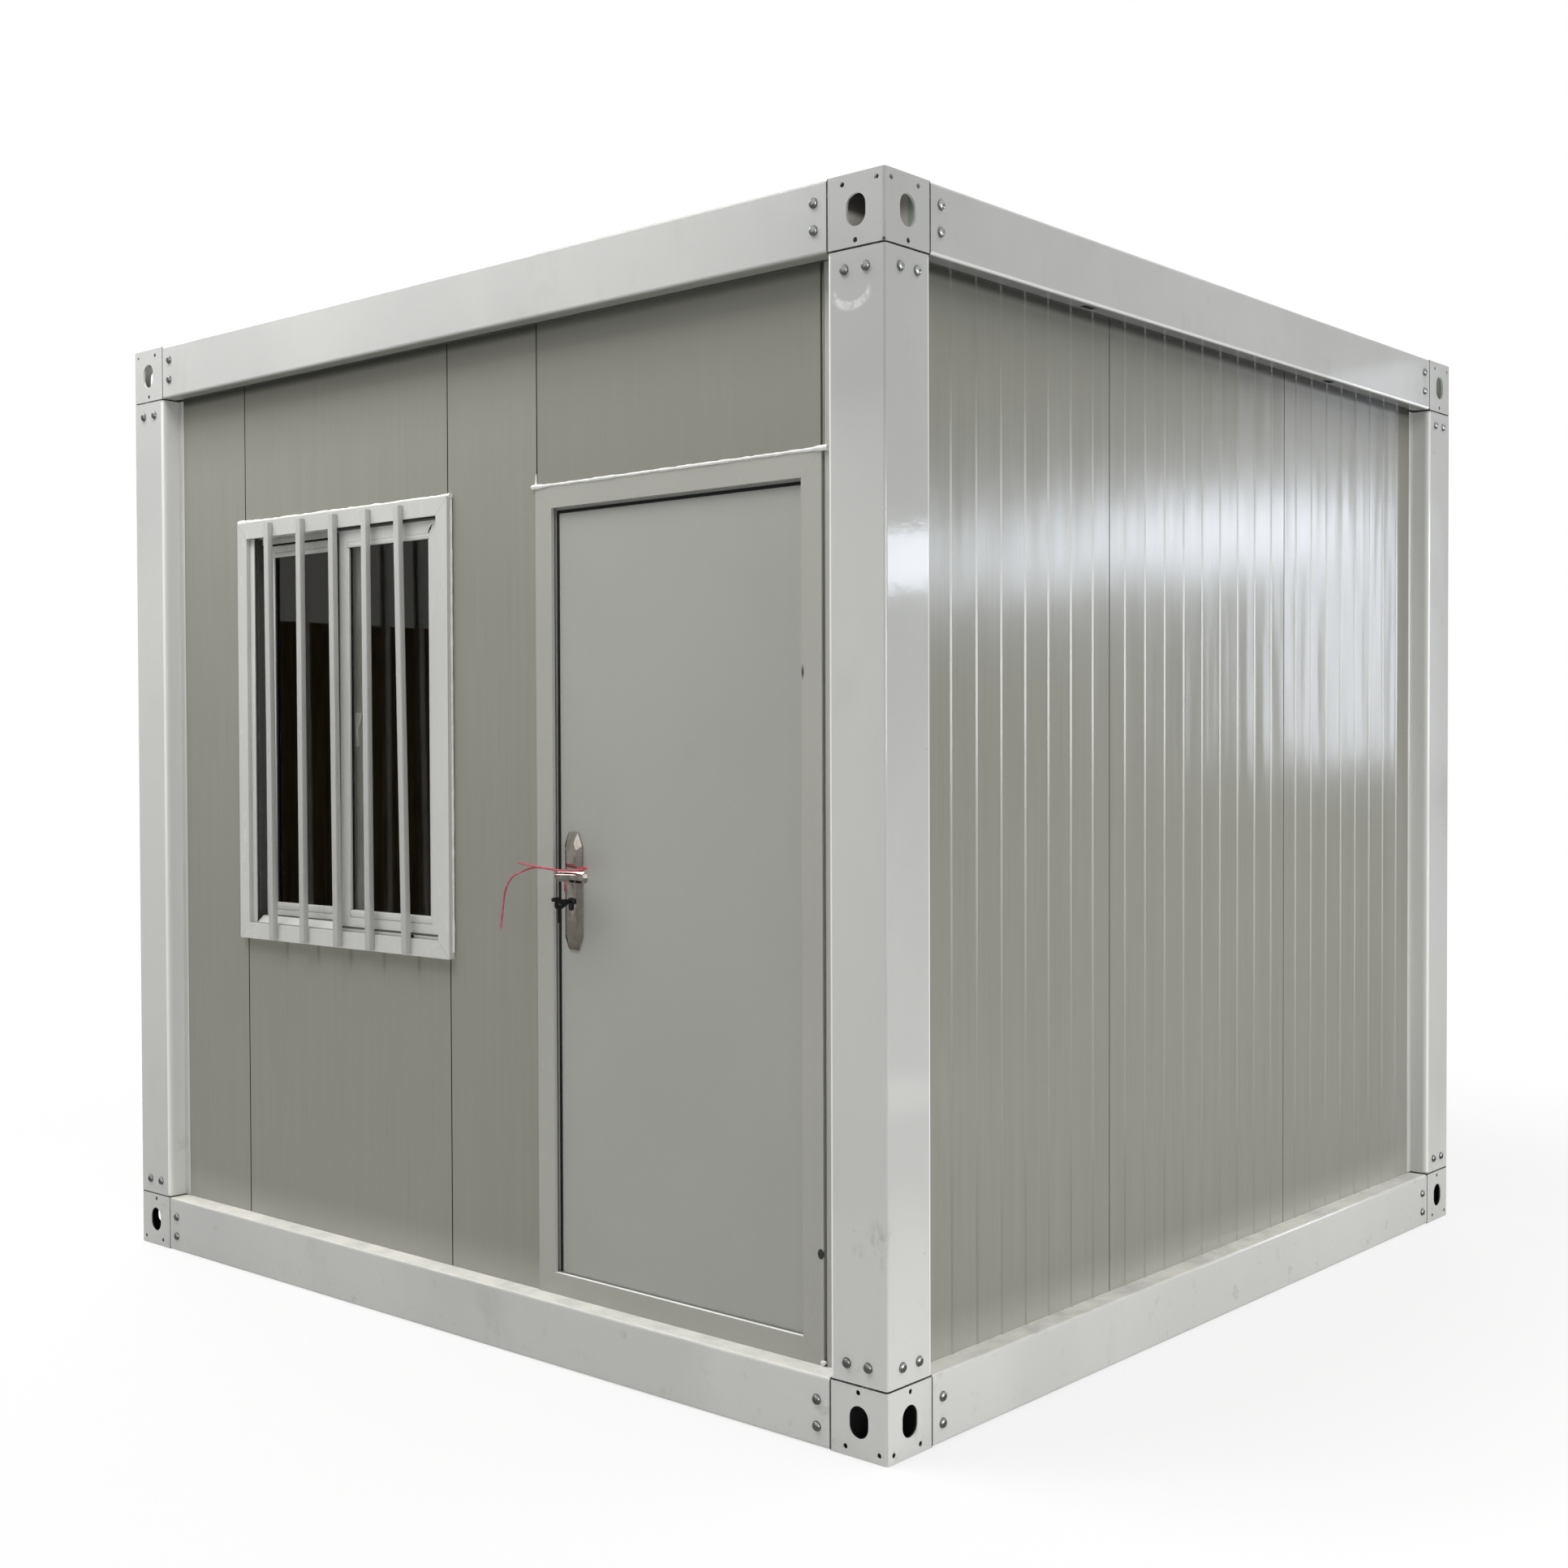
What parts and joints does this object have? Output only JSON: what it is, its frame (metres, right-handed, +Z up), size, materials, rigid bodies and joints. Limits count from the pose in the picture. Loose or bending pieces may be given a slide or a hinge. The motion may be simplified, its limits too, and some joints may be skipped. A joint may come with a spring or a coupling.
{
  "type": "container house",
  "caption": "Square flat-pack container house: bolted sheet-steel frame with slotted corner fittings, grey sandwich-panel walls, barred sliding window and a hinged door with a lever handle.",
  "frame": {"origin": "middle of the underside of the four bottom corner fittings", "axes": "+Z up; -Y is the side with the window and the door; +X towards the door's side"},
  "size_m": [3, 3.0055, 2.8],
  "materials": {
    "frame_paint": "gloss white paint, smudged",
    "wall_skin": "satin grey coil coating",
    "window_plastic": "white extruded plastic",
    "glass": "clear, dark room behind",
    "door_paint": "satin grey paint",
    "joist_steel": "primer",
    "floor": "bare board",
    "ceiling": "matt white",
    "roof_steel": "coil coating",
    "hinge_steel": "zinc plated",
    "handle_metal": "polished nickel",
    "lock_black": "dark",
    "key_black": "black",
    "twine": "twisted red plastic twine"
  },
  "bodies": {
    "house": {"fittings_top": "frame_paint", "fittings_bottom": "frame_paint", "post_front_left": "frame_paint", "post_front_right": "frame_paint", "post_back_left": "frame_paint", "post_back_right": "frame_paint", "top_beam_front": "frame_paint", "top_beam_right": "frame_paint", "top_beam_back": "frame_paint", "top_beam_left": "frame_paint", "bottom_beam_front": "frame_paint", "bottom_beam_right": "frame_paint", "bottom_beam_back": "frame_paint", "bottom_beam_left": "frame_paint", "floor_joists": "joist_steel", "floor_board": "floor", "ceiling_panel": "ceiling", "roof_purlins": "joist_steel", "roof_sheet": "roof_steel", "wall_front_left": "wall_skin", "wall_under_window": "wall_skin", "wall_over_window": "wall_skin", "wall_front_middle": "wall_skin", "wall_over_door": "wall_skin", "wall_front_right": "wall_skin", "wall_right": "wall_skin", "wall_back": "wall_skin", "wall_left": "wall_skin", "window_frame": "window_plastic", "window_sash_left": "window_plastic", "window_sash_right": "window_plastic", "window_panes": "glass", "window_latch": "window_plastic", "door_jamb_left": "door_paint", "door_jamb_right": "door_paint", "door_head": "door_paint", "door_sill": "door_paint", "door_hinges": "hinge_steel"},
    "door": {"door_leaf": "door_paint", "hinge_leaves": "hinge_steel", "handle_plates": "handle_metal", "lock_cylinder": "lock_black", "keys": "key_black"},
    "lever": {"levers": "handle_metal", "lever_twine": "twine"}
  },
  "joints": [
    {"name": "door_hinge", "type": "hinge", "parent": "house", "child": "door", "pos_m": [1.2215, -1.3795, 0], "axis": [0, 0, -1], "range_deg": [0, 90], "deforming": ["lever_twine"]},
    {"name": "lever_turn", "type": "hinge", "parent": "door", "child": "lever", "pos_m": [0.441, -1.429, 1.235], "axis": [0, 1, 0], "range_deg": [0, 45], "stiffness_Nm_per_rad": 1}
  ]
}
